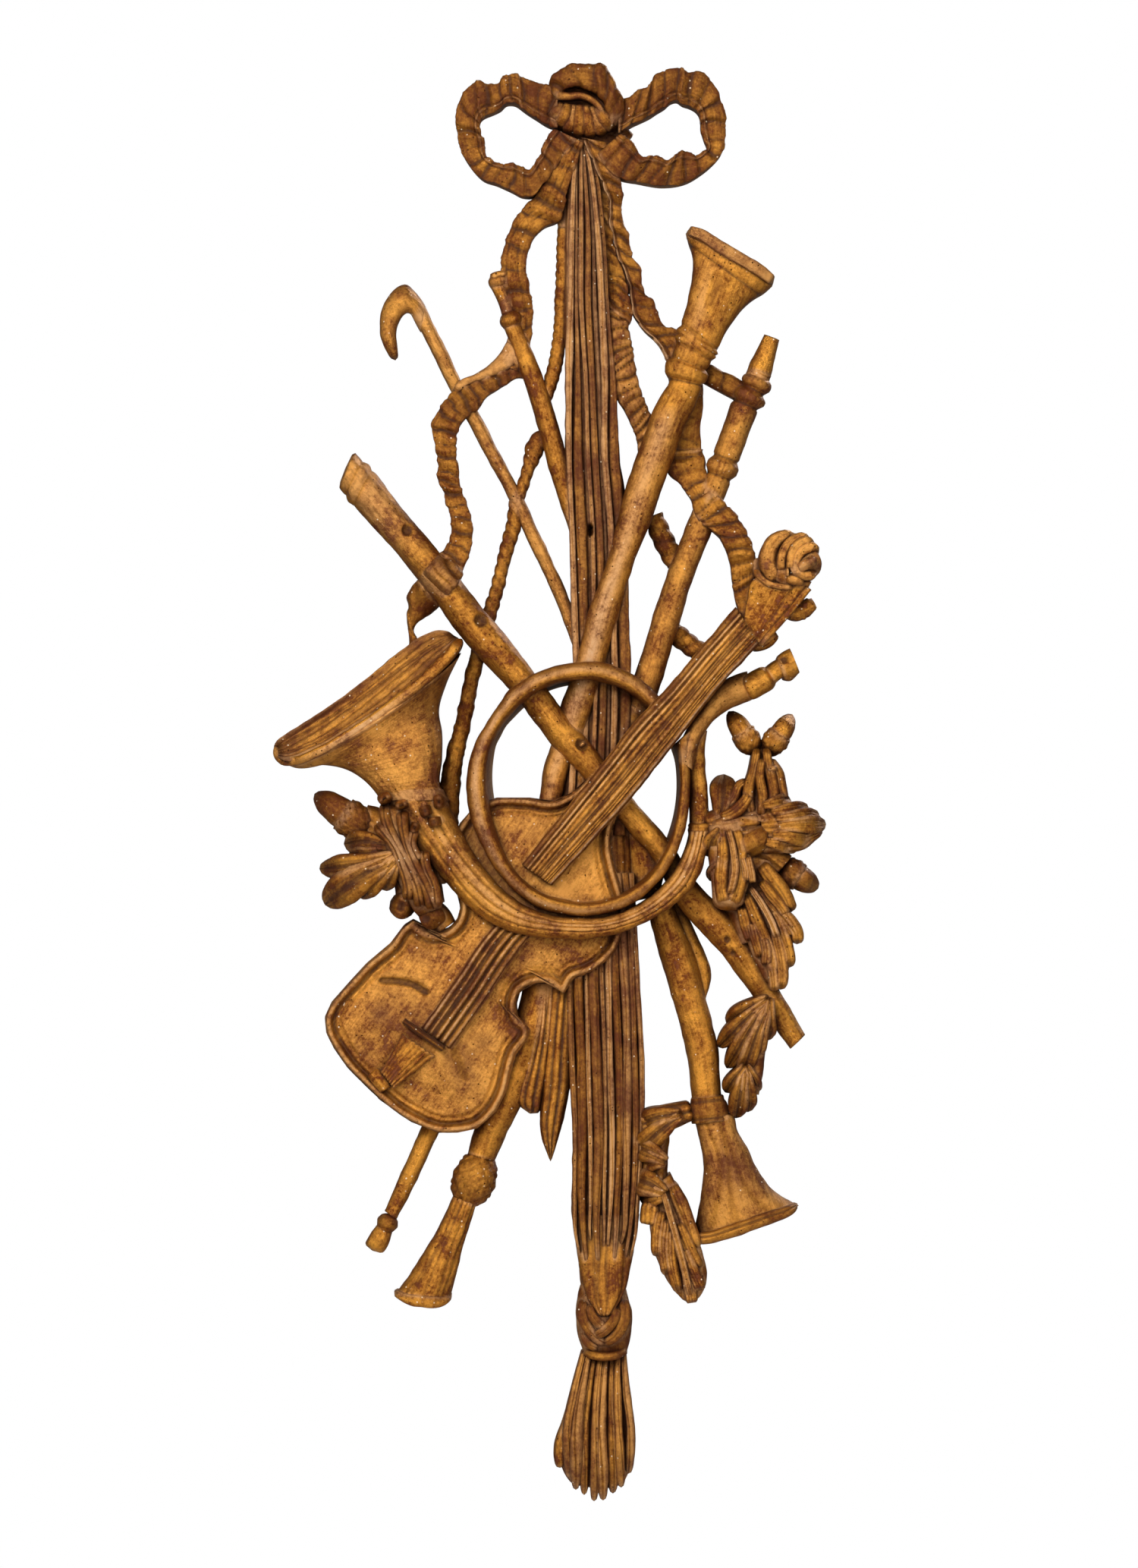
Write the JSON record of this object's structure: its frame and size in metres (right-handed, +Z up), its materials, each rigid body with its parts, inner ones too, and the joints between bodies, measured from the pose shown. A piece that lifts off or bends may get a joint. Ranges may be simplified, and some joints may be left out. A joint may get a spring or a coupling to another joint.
{
  "type": "giltwood wall applique",
  "caption": "Carved and gilded wooden wall ornament: a trophy of horn, violin, trumpet, flute and pipes with oak sprays, tied by a ribbon bow to a reeded sheaf that ends in a tassel.",
  "frame": {"origin": "point on the flat sawn back of the sheaf, 23 mm below the nail hole, where the carving lies against the wall", "axes": "+Z up the sheaf towards the bow, -Y out of the wall towards the viewer, +X to the viewer's right"},
  "size_m": [0.4732, 0.0906, 1.2286],
  "materials": {
    "gilt_wood": "aged water gilding over red bole and gesso, rubbed and dirty in the hollows"
  },
  "bodies": {
    "root": {"musical_trophy": "gilt_wood"}
  },
  "joints": []
}
